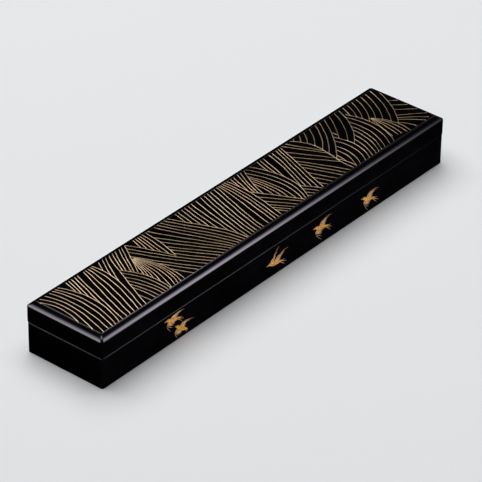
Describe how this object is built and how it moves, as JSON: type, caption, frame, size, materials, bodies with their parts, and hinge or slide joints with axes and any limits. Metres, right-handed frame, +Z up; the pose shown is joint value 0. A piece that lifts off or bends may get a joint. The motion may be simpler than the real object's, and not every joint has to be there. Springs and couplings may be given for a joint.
{
  "type": "pen box",
  "caption": "Long low lacquer pen box with a lift-off lid: rounded border and raised top panel, wave lines in gold on the lid and small flying plovers on one side.",
  "frame": {"origin": "middle of the underside, on the surface the box stands on", "axes": "+X along the box's length, +Y across it away from the side with the plovers, +Z up through the lid"},
  "size_m": [0.2402, 0.0436, 0.0261],
  "materials": {
    "black_lacquer": "polished black lacquer over a wooden core",
    "gold_lines": "thin painted gold, satin"
  },
  "bodies": {
    "root": {"box_base": "black_lacquer", "lid": "black_lacquer"}
  },
  "joints": []
}
